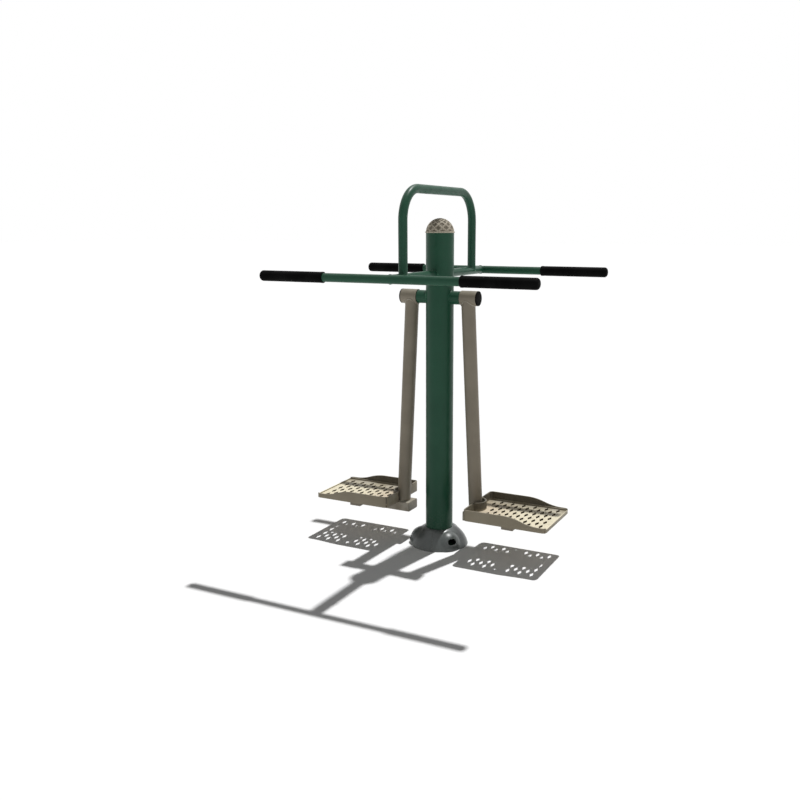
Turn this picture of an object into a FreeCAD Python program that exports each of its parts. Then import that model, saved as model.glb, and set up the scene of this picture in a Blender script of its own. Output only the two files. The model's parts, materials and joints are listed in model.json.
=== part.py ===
import FreeCAD, Part
import math
import os
import re
import Sketcher
from FreeCAD import Placement, Rotation, Vector

# Outdoor air walker with two hanging foot trays. Millimetres, +Z up.
# Origin: the centre of the column on the ground. X runs along the axle, Y along the swing.

# Driving dimensions
SIZES = {
    # column and its foot
    "column_radius": 57,
    "column_wall": 4,
    "column_top": 1309,
    "flange_radius": 110,
    "flange_thickness": 12,
    "flange_bore": 40,
    "anchor_circle": 88,
    "anchor_hole": 9,
    "anchor_count": 3,
    "lobe_turn": -36,
    "gusset_reach": 44,
    "gusset_rise": 46,
    "gusset_thickness": 8,
    # domed cover over the foot
    "cover_centre": 10,
    "cover_drop": 29,
    "cover_arc": 117,
    "cover_wall": 4,
    "cover_gap": 1,
    "cover_mouth": 62,
    "lobe_centre": 68,
    "lobe_lift": 12,
    "lobe_radius": 58,
    "access_radius": 13,
    "access_spread": 7,
    "access_rise": 42,
    "seam_turn": 100,
    "lug_width": 14,
    "lug_reach": 26,
    "lug_bolt": 3,
    "lug_bolt_head": 5,
    # cap on the column
    "cap_rim": 60,
    "cap_rim_rise": 5,
    "cap_rise": 58,
    "cap_spigot": 20,
    "cap_wall": 5,
    # handle bars and grips
    "bar_radius": 16.85,
    "bar_wall": 3,
    "bar_half": 562,
    "bar_lift": 1145,
    "bar_reach": 419,
    "bar_plate": 3,
    "grip_radius": 21.5,
    "grip_length": 291,
    "grip_end": 14,
    "grip_rounding": 13,
    # hoop over the column
    "hoop_radius": 17.5,
    "hoop_wall": 2.5,
    "hoop_half": 315,
    "hoop_lift": 1475,
    "hoop_bend": 120,
    # axle
    "axle_lift": 1051,
    "sleeve_radius": 27,
    "sleeve_half": 96,
    "shaft_radius": 15,
    "journal_radius": 12.5,
    "thread_radius": 10,
    "thread_chamfer": 1,
    "shaft_end": 166,
    # hub and bearings
    "hub_radius": 30,
    "hub_start": 98,
    "hub_end": 169,
    "hub_bore": 26,
    "hub_shoulder": 23,
    "bearing_width": 15,
    "bearing_inner": 100,
    "bearing_outer": 136,
    "inner_ring": 16.5,
    "outer_ring": 22,
    "ball_circle": 19.25,
    "ball_radius": 3.9,
    "race_radius": 4.2,
    "ball_count": 9,
    "cage_half": 2.5,
    "cage_thin": 0.8,
    "snap_depth": 1.5,
    "snap_width": 2,
    "snap_bore": 23.5,
    "seal_gap": 0.4,
    "spacer_step": 0.5,
    "plug_wall": 4,
    "plug_depth": 8,
    "cap_thickness": 6,
    "cap_rounding": 4,
    "nut_flat": 30,
    "nut_width": 10,
    "washer_width": 3,
    "washer_radius": 18,
    # swing limit
    "swing_limit": 50,
    "lug_half": 6,
    "lug_top": 22,
    "lug_margin": 3,
    "stop_gap": 0.4,
    "buffer_margin": 1.5,
    "buffer_bore": 16.2,
    # arm
    "arm_radius": 28.5,
    "arm_wall": 3,
    "arm_top": 126.5,
    "arm_foot": 170,
    # beam under the foot tray
    "beam_start": 127,
    "beam_end": 488,
    "beam_half": 40,
    "beam_top": 168,
    "beam_height": 40,
    "beam_wall": 3,
    "beam_plate": 3,
    "stub_middle": 353,
    "stub_half": 25,
    "stub_reach": 110,
    "stub_height": 24,
    # foot tray
    "tray_start": 175,
    "tray_end": 527,
    "tray_half": 146,
    "tray_floor": 11,
    "tray_wall": 6,
    "tray_corner": 18,
    "tray_side_top": 214,
    "tray_low_top": 187,
    "rim_top": 183,
    "crest_end": 345,
    "slope_end": 500,
    "ledge_width": 6,
    "ledge_rise": 6,
    "recess_radius": 40,
    "boss_wall": 6,
    # diamond holes in the tray's floor
    "hole_pitch": 50,
    "hole_row": 26.5,
    "hole_length": 15,
    "hole_width": 44,
    "hole_start": 241,
    "hole_shift": 6,
    "hole_columns": 6,
}

ALONG = {
    "X": Rotation(Vector(0, 1, 0), 90),
    "Y": Rotation(Vector(1, 0, 0), -90),
    "Z": Rotation(),
}
SIDES = {"right": 0, "left": 180}

doc = FreeCAD.newDocument("AirWalker")
nodes = []


def fill_sheet():
    """Put every driving dimension into its own named cell."""
    sheet = doc.addObject("Spreadsheet::Sheet", "sizes")
    for row, (name, number) in enumerate(SIZES.items(), start=1):
        sheet.set(f"A{row}", name)
        sheet.set(f"B{row}", str(number))
        sheet.setAlias(f"B{row}", name)
    doc.recompute()
    return sheet


def mm(name):
    """A driving dimension as a number, read back from the sheet."""
    return float(sheet.get(name))


def driven(text):
    """Turn plain names of dimensions into references to the sheet's cells."""
    return re.sub(r"[a-z]+(_[a-z]+)+", lambda word: "sizes." + word.group(0), str(text))


def value(rule):
    """What a rule about dimensions comes to."""
    return float(sheet.evalExpression(driven(rule)))


def bind(thing, **rules):
    for name, rule in rules.items():
        thing.setExpression(name, driven(rule))
    return thing


def place(thing, x=0, y=0, z=0, turn=Rotation()):
    """Turn a piece and drive its position from the sheet."""
    thing.Placement = Placement(Vector(), turn)
    for axis, rule in (("x", x), ("y", y), ("z", z)):
        thing.setExpression("Placement.Base." + axis, driven(rule))
    return thing


def keep(thing, label):
    """Name a finished sub-part."""
    thing.Label = label
    nodes.append(thing)
    return thing


def about_column(angle):
    return Rotation(Vector(0, 0, 1), angle)


# Round, square and joined primitives

def rod(name, radius, length, x=0, y=0, z=0, along="Z"):
    thing = doc.addObject("Part::Cylinder", name)
    bind(thing, Radius=radius, Height=length)
    return place(thing, x, y, z, ALONG[along])


def block(name, length, width, height, x=0, y=0, z=0, turn=Rotation()):
    thing = doc.addObject("Part::Box", name)
    bind(thing, Length=length, Width=width, Height=height)
    return place(thing, x, y, z, turn)


def ball(name, radius, x=0, y=0, z=0):
    thing = doc.addObject("Part::Sphere", name)
    bind(thing, Radius=radius)
    return place(thing, x, y, z)


def cut(name, base, tool):
    thing = doc.addObject("Part::Cut", name)
    thing.Base = base
    thing.Tool = tool
    return thing


def common(name, base, tool):
    thing = doc.addObject("Part::Common", name)
    thing.Base = base
    thing.Tool = tool
    return thing


def fuse(name, pieces):
    thing = doc.addObject("Part::MultiFuse", name)
    thing.Shapes = pieces
    return thing


def group(name, pieces):
    """Separate solids that share one node."""
    thing = doc.addObject("Part::Compound", name)
    thing.Links = pieces
    return thing


def tube(name, radius, bore, length, x=0, y=0, z=0, along="Z"):
    outside = rod(name + "_outside", radius, length, x, y, z, along)
    inside = rod(name + "_inside", bore, length, x, y, z, along)
    return cut(name, outside, inside)


def ring(name, radius, bore, start, end):
    """A ring on the axle line, between two stations along X."""
    return tube(name, radius, bore, f"{end} - ({start})", x=start, z="axle_lift", along="X")


# Sketched bodies

def new_body(name):
    body = doc.addObject("PartDesign::Body", name)
    body.AllowCompound = True
    return body


def origin_plane(body, role):
    return next(item for item in body.Origin.OriginFeatures if item.Role == role)


def new_sketch(body, role, name):
    sketch = body.newObject("Sketcher::SketchObject", name)
    sketch.AttachmentSupport = [(origin_plane(body, role), "")]
    sketch.MapMode = "FlatFace"
    return sketch


def pin_across(sketch, edge, end, x):
    index = sketch.addConstraint(Sketcher.Constraint("DistanceX", -1, 1, edge, end, value(x)))
    sketch.setExpression(f"Constraints[{index}]", driven(x))


def pin_up(sketch, edge, end, y):
    index = sketch.addConstraint(Sketcher.Constraint("DistanceY", -1, 1, edge, end, value(y)))
    sketch.setExpression(f"Constraints[{index}]", driven(y))


def pin_point(sketch, edge, end, x, y):
    """Hold one end of an edge at driven distances from the origin."""
    pin_across(sketch, edge, end, x)
    pin_up(sketch, edge, end, y)


def outline(body, role, name, corners):
    """A closed straight-sided outline whose corners are all driven."""
    sketch = new_sketch(body, role, name)
    count = len(corners)
    spots = [Vector(value(x), value(y), 0) for x, y in corners]
    for i in range(count):
        sketch.addGeometry(Part.LineSegment(spots[i], spots[(i + 1) % count]), False)
    for i in range(count):
        sketch.addConstraint(Sketcher.Constraint("Coincident", i, 2, (i + 1) % count, 1))
    for i, (x, y) in enumerate(corners):
        pin_point(sketch, i, 1, x, y)
    return sketch


def circle_sketch(body, role, name, circles):
    """Circles, each given by its centre and its radius."""
    sketch = new_sketch(body, role, name)
    for edge, (x, y, radius) in enumerate(circles):
        sketch.addGeometry(Part.Circle(Vector(value(x), value(y), 0), Vector(0, 0, 1), value(radius)), False)
        pin_point(sketch, edge, 3, x, y)
        index = sketch.addConstraint(Sketcher.Constraint("Radius", edge, value(radius)))
        sketch.setExpression(f"Constraints[{index}]", driven(radius))
    return sketch


def pad(body, sketch, length, name, reversed_way=False, both_ways=False):
    feature = body.newObject("PartDesign::Pad", name)
    feature.Profile = sketch
    feature.SideType = "Symmetric" if both_ways else "One side"
    feature.Reversed = reversed_way
    return bind(feature, Length=length)


def pocket(body, sketch, length, name, reversed_way=False, both_ways=False):
    feature = body.newObject("PartDesign::Pocket", name)
    feature.Profile = sketch
    feature.SideType = "Symmetric" if both_ways else "One side"
    feature.Reversed = reversed_way
    return bind(feature, Length=length)


def turned(body, sketch, axis, name):
    """A full turn of an outline about one of the sketch's own axes."""
    feature = body.newObject("PartDesign::Revolution", name)
    feature.Profile = sketch
    feature.ReferenceAxis = (sketch, [axis])
    feature.Angle = 360
    return feature


def grid(body, feature, sketch, name, columns, column_span, rows, row_span):
    """Repeat a feature along the sketch's two axes."""
    pattern = body.newObject("PartDesign::LinearPattern", name)
    pattern.Originals = [feature]
    pattern.Direction = (sketch, ["H_Axis"])
    pattern.Direction2 = (sketch, ["V_Axis"])
    bind(pattern, Occurrences=columns, Length=column_span, Occurrences2=rows, Length2=row_span)
    body.Tip = pattern
    return pattern


def rounded(body, feature, edges, radius, name):
    fillet = body.newObject("PartDesign::Fillet", name)
    fillet.Base = (feature, edges)
    return bind(fillet, Radius=radius)


def edges_where(feature, test):
    """Names of a feature's edges whose middle and direction pass a test."""
    names = []
    for number, edge in enumerate(feature.Shape.Edges, start=1):
        middle = edge.valueAt((edge.FirstParameter + edge.LastParameter) / 2)
        if test(edge, middle):
            names.append(f"Edge{number}")
    return names


# Column, flange and gussets

def column_tube():
    length = "column_top - flange_thickness"
    blank = tube("column_blank", "column_radius", "column_radius - column_wall", length,
                 z="flange_thickness")
    cross = rod("column_cross_hole", "bar_radius", "4 * column_radius",
                y="-2 * column_radius", z="bar_lift", along="Y")
    axle = rod("column_axle_hole", "sleeve_radius", "4 * column_radius",
               x="-2 * column_radius", z="axle_lift", along="X")
    keep(cut("column", blank, fuse("column_holes", [cross, axle])), "column_tube")


def base_flange():
    body = new_body("flange")
    rims = [(0, 0, "flange_radius"), (0, 0, "flange_bore")]
    plate = circle_sketch(body, "XY_Plane", "flange_outline", rims)
    pad(body, plate, "flange_thickness", "flange_plate")
    hole = circle_sketch(body, "XY_Plane", "anchor_outline", [("anchor_circle", 0, "anchor_hole")])
    drilled = pocket(body, hole, "flange_thickness", "anchor_drilling", reversed_way=True)
    pattern = body.newObject("PartDesign::PolarPattern", "anchor_drillings")
    pattern.Originals = [drilled]
    pattern.Axis = (hole, ["N_Axis"])
    bind(pattern, Occurrences="anchor_count")
    body.Tip = pattern
    place(body, turn=about_column(mm("lobe_turn")))
    keep(body, "base_flange")


def base_gussets():
    """Triangular ribs between the anchor holes."""
    body = new_body("gussets")
    low, foot = "flange_thickness", "column_radius"
    rib = outline(body, "XZ_Plane", "gusset_outline", [
        (foot, low),
        (f"{foot} + gusset_reach", low),
        (f"{foot} + gusset_reach", f"{low} + gusset_thickness"),
        (f"{foot} + gusset_thickness", f"{low} + gusset_rise"),
        (foot, f"{low} + gusset_rise"),
    ])
    first = pad(body, rib, "gusset_thickness", "gusset", both_ways=True)
    pattern = body.newObject("PartDesign::PolarPattern", "gusset_ribs")
    pattern.Originals = [first]
    pattern.Axis = (origin_plane(body, "Z_Axis"), [""])
    bind(pattern, Occurrences="anchor_count")
    body.Tip = pattern
    place(body, turn=about_column(mm("lobe_turn") + 180 / mm("anchor_count")))
    keep(body, "base_gussets")


# Domed cover in two halves

def cover_foot(inset=0):
    """Where the dome's arc, or one inside it, meets the ground."""
    return f"(cover_centre + sqrt((cover_arc - {inset}) ^ 2 - cover_drop ^ 2))"


def dome_solid(name, inset):
    """The solid under the dome: a shallow arc with its centre below the ground, turned about the column."""
    body = new_body(name)
    sketch = new_sketch(body, "XZ_Plane", name + "_outline")
    centre, drop, mouth = mm("cover_centre"), mm("cover_drop"), mm("cover_mouth")
    radius = mm("cover_arc") - inset
    rise = math.sqrt(radius ** 2 - (mouth - centre) ** 2) - drop
    foot, top = Vector(value(cover_foot(inset)), 0, 0), Vector(mouth, rise, 0)
    middle = (math.asin(drop / radius) + math.acos((mouth - centre) / radius)) / 2
    bulge = Vector(centre + radius * math.cos(middle), radius * math.sin(middle) - drop, 0)
    sketch.addGeometry(Part.LineSegment(Vector(0, 0, 0), foot), False)
    sketch.addGeometry(Part.Arc(foot, bulge, top), False)
    sketch.addGeometry(Part.LineSegment(top, Vector(0, rise, 0)), False)
    sketch.addGeometry(Part.LineSegment(Vector(0, rise, 0), Vector(0, 0, 0)), False)
    for first, first_end, second, second_end in ((0, 2, 1, 1), (1, 2, 2, 1), (2, 2, 3, 1), (3, 2, 0, 1)):
        sketch.addConstraint(Sketcher.Constraint("Coincident", first, first_end, second, second_end))
    sketch.addConstraint(Sketcher.Constraint("Horizontal", 2))
    pin_point(sketch, 0, 1, 0, 0)
    pin_point(sketch, 0, 2, cover_foot(inset), 0)
    pin_point(sketch, 1, 3, "cover_centre", "-cover_drop")
    pin_across(sketch, 2, 2, 0)
    pin_across(sketch, 2, 1, "cover_mouth")
    turned(body, sketch, "V_Axis", name + "_turn")
    return body


def lobe_angles():
    step = 360 / mm("anchor_count")
    return [mm("lobe_turn") + step * i for i in range(int(mm("anchor_count")))]


def lobe_balls(name, inset):
    """One raised lobe over each anchor hole."""
    lobes = []
    for i, angle in enumerate(lobe_angles()):
        across, along = math.cos(math.radians(angle)), math.sin(math.radians(angle))
        lobes.append(ball(f"{name}_{i}", f"lobe_radius - {inset}",
                          f"lobe_centre * {across}", f"lobe_centre * {along}", "lobe_lift"))
    return lobes


def access_holes():
    """A wide hole in each lobe, through which the anchor nut is reached."""
    holes = []
    for i, angle in enumerate(lobe_angles()):
        outward = Vector(math.cos(math.radians(angle)), math.sin(math.radians(angle)), 0)
        sideways = Vector(-outward.y, outward.x, 0)
        rise = math.radians(mm("access_rise"))
        way = outward * math.cos(rise) + Vector(0, 0, 1) * math.sin(rise)
        for side in (-1, 1):
            hole = doc.addObject("Part::Cylinder", f"access_{i}_{'low' if side < 0 else 'high'}")
            bind(hole, Radius="access_radius", Height="cover_arc")
            place(hole, f"anchor_circle * {outward.x} + access_spread * {side * sideways.x}",
                  f"anchor_circle * {outward.y} + access_spread * {side * sideways.y}",
                  "flange_thickness", Rotation(Vector(0, 0, 1), way))
            holes.append(hole)
    return holes


def cover_lugs(outside, seam):
    """Two lugs inside the cover, each crossed by the seam."""
    far = cover_foot()
    lugs = [block(f"cover_lug_{i}", "lug_width", "lug_reach", "lug_width",
                  x="-lug_width / 2", y=y, z="flange_thickness + cover_wall")
            for i, y in enumerate((f"-{far}", f"{far} - lug_reach"))]
    pair = fuse("cover_lug_pair", lugs)
    pair.Placement = Placement(Vector(), seam)
    return common("cover_lugs", pair, outside)


def cover_bolts(seam):
    """The bolts through the lugs, square to the seam."""
    across = f"{cover_foot()} - lug_reach + lug_width / 2"
    lift = "flange_thickness + cover_wall + lug_width / 2"
    bolts = []
    for i, y in enumerate((f"-({across})", across)):
        shank = rod(f"cover_shank_{i}", "lug_bolt", "1.5 * lug_width",
                    x="-lug_width", y=y, z=lift, along="X")
        head = rod(f"cover_head_{i}", "lug_bolt_head", "lug_bolt", "lug_width / 2", y, lift, "X")
        bolts.append(fuse(f"cover_bolt_{i}", [shank, head]))
    pair = group("cover_bolt_pair", bolts)
    pair.Placement = Placement(Vector(), seam)
    return pair


def base_cover():
    wall = mm("cover_wall")
    outside = fuse("cover_outside", [dome_solid("dome_outside", 0)] + lobe_balls("lobe_outside", 0))
    inside = fuse("cover_inside", [dome_solid("dome_inside", wall)] + lobe_balls("lobe_inside", wall))
    shell = cut("cover_shell", outside, inside)
    # the halves are cut along the plane x = 0 and turned until that plane lies at the seam's azimuth
    seam = about_column(mm("seam_turn") - 90)
    bolts = cover_bolts(seam)
    column_hole = rod("cover_column_hole", "column_radius + cover_gap", "column_top")
    openings = fuse("cover_openings", access_holes() + [column_hole])
    opened = cut("cover_opened", fuse("cover_with_lugs", [shell, cover_lugs(outside, seam)]), openings)
    drilled = cut("cover_drilled", opened, bolts)
    span = "2 * cover_arc + 2 * cover_centre"
    for label, start in (("base_cover_left", f"-({span})"), ("base_cover_right", 0)):
        side = group(label + "_side", [block(label + "_block", span, f"2 * ({span})",
                                             "cover_arc + cover_centre", x=start, y=f"-({span})")])
        side.Placement = Placement(Vector(), seam)
        keep(common(label + "_shell", drilled, side), label)
    keep(bolts, "base_cover_bolts")


# Cap, handle bars, grips and hoop

def dome_cap():
    """A hollow dome with a small rim and a spigot that sits in the column."""
    body = new_body("cap")
    sketch = new_sketch(body, "XZ_Plane", "cap_outline")
    fit = "column_radius - column_wall"
    rules = [
        ("column_radius", "column_top + cap_rim_rise"),
        ("cap_rim", "column_top + cap_rim_rise"),
        ("cap_rim", "column_top"),
        (fit, "column_top"),
        (fit, "column_top - cap_spigot"),
        (f"{fit} - cap_wall", "column_top - cap_spigot"),
        (f"{fit} - cap_wall", "column_top + cap_rim_rise"),
        (f"({fit}) / 2", "column_top + cap_rise - 3 * cap_wall"),
        (0, "column_top + cap_rise - cap_wall"),
        (0, "column_top + cap_rise"),
    ]
    corners = [Vector(value(x), value(y), 0) for x, y in rules]
    last = len(corners) - 1
    for i in range(last):
        sketch.addGeometry(Part.LineSegment(corners[i], corners[i + 1]), False)
        pin_point(sketch, i, 1, *rules[i])
    for i in range(last - 1):
        sketch.addConstraint(Sketcher.Constraint("Coincident", i, 2, i + 1, 1))
    pin_point(sketch, last - 1, 2, *rules[last])
    # the dome's arc has its centre on the axis
    shoulder, top = corners[0], corners[last]
    rise = top.y - shoulder.y
    radius = (shoulder.x ** 2 + rise ** 2) / (2 * rise)
    lean = math.asin(shoulder.x / radius) / 2
    bulge = Vector(radius * math.sin(lean), top.y - radius + radius * math.cos(lean), 0)
    sketch.addGeometry(Part.Arc(top, bulge, shoulder), False)
    # it is stored counter-clockwise, from the shoulder to the top
    sketch.addConstraint(Sketcher.Constraint("Coincident", last, 1, 0, 1))
    sketch.addConstraint(Sketcher.Constraint("Coincident", last, 2, last - 1, 2))
    sketch.addConstraint(Sketcher.Constraint("PointOnObject", last, 3, -2))
    turned(body, sketch, "V_Axis", "cap_turn")
    keep(body, "dome_cap")


def handle_bars():
    for label, y in (("front_bar", "-bar_reach"), ("rear_bar", "bar_reach")):
        bar = tube(label + "_tube", "bar_radius", "bar_radius - bar_wall", "2 * bar_half",
                   x="-bar_half", y=y, z="bar_lift", along="X")
        keep(bar, label)


def cross_tube():
    """Runs from bar to bar; its ends are shaped to the bars."""
    blank = tube("cross_blank", "bar_radius", "bar_radius - bar_wall", "2 * bar_reach",
                 y="-bar_reach", z="bar_lift", along="Y")
    bars = [rod(f"cross_end_{i}", "bar_radius", "2 * bar_half", x="-bar_half", y=y, z="bar_lift", along="X")
            for i, y in enumerate(("-bar_reach", "bar_reach"))]
    keep(cut("cross", blank, fuse("cross_ends", bars)), "cross_tube")


def bar_end_plates():
    plates = []
    for front, y in (("front", "-bar_reach"), ("rear", "bar_reach")):
        for side, x in (("left", "-bar_half"), ("right", "bar_half - bar_plate")):
            plates.append(rod(f"plate_{front}_{side}", "bar_radius - bar_wall", "bar_plate",
                              x=x, y=y, z="bar_lift", along="X"))
    keep(group("end_plates", plates), "bar_end_plates")


def grips():
    """Rubber sleeves with closed, rounded ends."""
    start = "bar_half + grip_end - grip_length"
    for front, y in (("front", "-bar_reach"), ("rear", "bar_reach")):
        for side, angle in SIDES.items():
            label = f"{front}_{side}_grip"
            body = new_body(label + "_sleeve")
            half = outline(body, "XZ_Plane", label + "_outline", [
                (start, "bar_radius"),
                (start, "grip_radius"),
                ("bar_half + grip_end", "grip_radius"),
                ("bar_half + grip_end", 0),
                ("bar_half", 0),
                ("bar_half", "bar_radius"),
            ])
            sleeve = turned(body, half, "H_Axis", label + "_turn")
            doc.recompute()
            end = value("bar_half + grip_end")
            rim = edges_where(sleeve, lambda edge, middle: abs(middle.x - end) < 0.01
                              and round_rim(edge, mm("grip_radius")))
            rounded(body, sleeve, rim, "grip_rounding", label + "_rounding")
            place(body, y=y, z="bar_lift", turn=about_column(angle))
            keep(body, label)


def round_rim(edge, radius):
    return isinstance(edge.Curve, Part.Circle) and abs(edge.Curve.Radius - radius) < 0.01


def hoop():
    """A bent tube: two upright legs, two bends and a straight top; its feet are shaped to the cross tube."""
    body = new_body("hoop_bent")
    path = new_sketch(body, "YZ_Plane", "hoop_path")
    half, low, high, bend = mm("hoop_half"), mm("bar_lift"), mm("hoop_lift"), mm("hoop_bend")
    diagonal = bend * math.sqrt(0.5)
    path.addGeometry(Part.LineSegment(Vector(-half, low, 0), Vector(-half, high - bend, 0)), False)
    path.addGeometry(Part.Arc(Vector(-half, high - bend, 0),
                              Vector(-half + bend - diagonal, high - bend + diagonal, 0),
                              Vector(-half + bend, high, 0)), False)
    path.addGeometry(Part.LineSegment(Vector(-half + bend, high, 0), Vector(half - bend, high, 0)), False)
    path.addGeometry(Part.Arc(Vector(half - bend, high, 0),
                              Vector(half - bend + diagonal, high - bend + diagonal, 0),
                              Vector(half, high - bend, 0)), False)
    path.addGeometry(Part.LineSegment(Vector(half, high - bend, 0), Vector(half, low, 0)), False)
    # both arcs are stored counter-clockwise, so their first point is the later one on the path
    path.addConstraint(Sketcher.Constraint("Coincident", 0, 2, 1, 2))
    path.addConstraint(Sketcher.Constraint("Coincident", 1, 1, 2, 1))
    path.addConstraint(Sketcher.Constraint("Coincident", 2, 2, 3, 2))
    path.addConstraint(Sketcher.Constraint("Coincident", 3, 1, 4, 1))
    pin_point(path, 0, 1, "-hoop_half", "bar_lift")
    pin_point(path, 0, 2, "-hoop_half", "hoop_lift - hoop_bend")
    pin_point(path, 2, 1, "hoop_bend - hoop_half", "hoop_lift")
    pin_point(path, 2, 2, "hoop_half - hoop_bend", "hoop_lift")
    pin_point(path, 4, 1, "hoop_half", "hoop_lift - hoop_bend")
    pin_point(path, 4, 2, "hoop_half", "bar_lift")
    for arc in (1, 3):
        pin_up(path, arc, 3, "hoop_lift - hoop_bend")
    section = circle_sketch(body, "XY_Plane", "hoop_section", [
        (0, "-hoop_half", "hoop_radius"),
        (0, "-hoop_half", "hoop_radius - hoop_wall"),
    ])
    bind(section, **{"AttachmentOffset.Base.z": "bar_lift"})
    sweep = body.newObject("PartDesign::AdditivePipe", "hoop_sweep")
    sweep.Profile = section
    sweep.Spine = (path, [f"Edge{i + 1}" for i in range(5)])
    foot = rod("hoop_foot", "bar_radius", "4 * hoop_half", y="-2 * hoop_half", z="bar_lift", along="Y")
    foot_waste = block("hoop_waste", "4 * hoop_radius", "4 * hoop_half", "bar_radius",
                       x="-2 * hoop_radius", y="-2 * hoop_half", z="bar_lift - bar_radius")
    keep(cut("hoop_fitted", body, fuse("hoop_feet", [foot, foot_waste])), "hoop")


# Axle, bearings and swing stop

def axle_sleeve():
    keep(ring("sleeve", "sleeve_radius", "shaft_radius", "-sleeve_half", "sleeve_half"), "axle_sleeve")


def axle_shaft():
    """A stepped shaft, the same at both ends."""
    body = new_body("shaft")
    journal_end = "bearing_outer + bearing_width"
    half = [
        ("shaft_end", 0),
        ("shaft_end", "thread_radius - thread_chamfer"),
        ("shaft_end - thread_chamfer", "thread_radius"),
        (journal_end, "thread_radius"),
        (journal_end, "journal_radius"),
        ("sleeve_half", "journal_radius"),
        ("sleeve_half", "shaft_radius"),
    ]
    mirrored = [(f"-({x})", y) for x, y in reversed(half)]
    sketch = outline(body, "XZ_Plane", "shaft_outline", half + mirrored)
    turned(body, sketch, "H_Axis", "shaft_turn")
    place(body, z="axle_lift")
    keep(body, "axle_shaft")


def both_sides(pieces):
    """A group on the right and the same group turned to the left, as links of one node."""
    right = group(pieces[0].Name + "_right", pieces)
    left = group(pieces[0].Name + "_left", pieces)
    left.Placement = Placement(Vector(), about_column(180))
    return group(pieces[0].Name + "_all", [right, left])


def axle_spacers():
    keep(both_sides([ring("axle_spacer", "inner_ring - spacer_step", "journal_radius",
                          "sleeve_half", "bearing_inner")]), "axle_spacers")


def stop_spacers():
    """A spacer between the bearings, with a lug that points up and limits the swing."""
    start = "bearing_inner + bearing_width"
    length = f"bearing_outer - ({start})"
    spacer = rod("stop_tube", "inner_ring - 2 * spacer_step", length, x=start, z="axle_lift", along="X")
    lug = block("stop_lug", f"{length} - 2 * lug_margin", "2 * lug_half", "lug_top",
                x=f"{start} + lug_margin", y="-lug_half", z="axle_lift")
    bore = rod("stop_bore", "journal_radius", length, x=start, z="axle_lift", along="X")
    keep(both_sides([cut("stop_spacer", fuse("stop_solid", [spacer, lug]), bore)]), "stop_spacers")


def bearing_starts():
    return ("bearing_inner", "bearing_outer")


def race(name, start):
    """The rounded groove that the balls run in."""
    thing = doc.addObject("Part::Torus", name)
    bind(thing, Radius1="ball_circle", Radius2="race_radius")
    return place(thing, x=f"{start} + bearing_width / 2", z="axle_lift", turn=ALONG["X"])


def raced_rings(name, radius, bore):
    return [cut(f"{name}_{i}",
                ring(f"{name}_blank_{i}", radius, bore, start, f"{start} + bearing_width"),
                race(f"{name}_race_{i}", start))
            for i, start in enumerate(bearing_starts())]


def bearing_inner_rings():
    keep(both_sides(raced_rings("inner", "inner_ring", "journal_radius")), "bearing_inner_rings")


def bearing_ball_sets():
    """Balls and their cage, one solid for each bearing."""
    sets = []
    for i, start in enumerate(bearing_starts()):
        middle = f"{start} + bearing_width / 2"
        cage = ring(f"cage_{i}", "ball_circle + cage_thin", "ball_circle - cage_thin",
                    f"{middle} - cage_half", f"{middle} + cage_half")
        balls = []
        for k in range(int(mm("ball_count"))):
            angle = 2 * math.pi * k / mm("ball_count")
            balls.append(ball(f"ball_{i}_{k}", "ball_radius", middle,
                              f"ball_circle * {math.cos(angle)}",
                              f"axle_lift + ball_circle * {math.sin(angle)}"))
        sets.append(fuse(f"ball_set_{i}", [cage] + balls))
    keep(both_sides(sets), "bearing_ball_sets")


def hexagon(name, flat, height, bore, x=0, y=0, z=0, along="Z"):
    """A nut with a plain bore."""
    prism = doc.addObject("Part::Prism", name + "_hexagon")
    prism.Polygon = 6
    bind(prism, Circumradius=f"{flat} / sqrt(3)", Height=height)
    place(prism, x, y, z, ALONG[along])
    return cut(name, prism, rod(name + "_bore", bore, height, x, y, z, along))


def axle_fasteners():
    start = "bearing_outer + bearing_width"
    keep(both_sides([ring("axle_washer", "washer_radius", "thread_radius", start,
                          f"{start} + washer_width")]), "axle_washers")
    keep(both_sides([hexagon("axle_nut", "nut_flat", "nut_width", "thread_radius",
                             x=f"{start} + washer_width", z="axle_lift", along="X")]), "axle_nuts")


# Swing arm: every piece is built on the right and turned about the column for the left

def hub(side, turn):
    body = new_body(side + "_hub_body")
    groove = "bearing_outer + bearing_width"
    first_end = "bearing_inner + bearing_width"
    sketch = outline(body, "XZ_Plane", side + "_hub_outline", [
        ("hub_start", "hub_radius"),
        ("hub_start", "hub_bore"),
        (first_end, "hub_bore"),
        (first_end, "hub_shoulder"),
        ("bearing_outer", "hub_shoulder"),
        ("bearing_outer", "hub_bore"),
        (groove, "hub_bore"),
        (groove, "hub_bore + snap_depth"),
        (f"{groove} + snap_width", "hub_bore + snap_depth"),
        (f"{groove} + snap_width", "hub_bore"),
        ("hub_end", "hub_bore"),
        ("hub_end", "hub_radius"),
    ])
    turned(body, sketch, "H_Axis", side + "_hub_turn")
    place(body, z="axle_lift", turn=turn)
    keep(body, side + "_hub")


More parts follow.
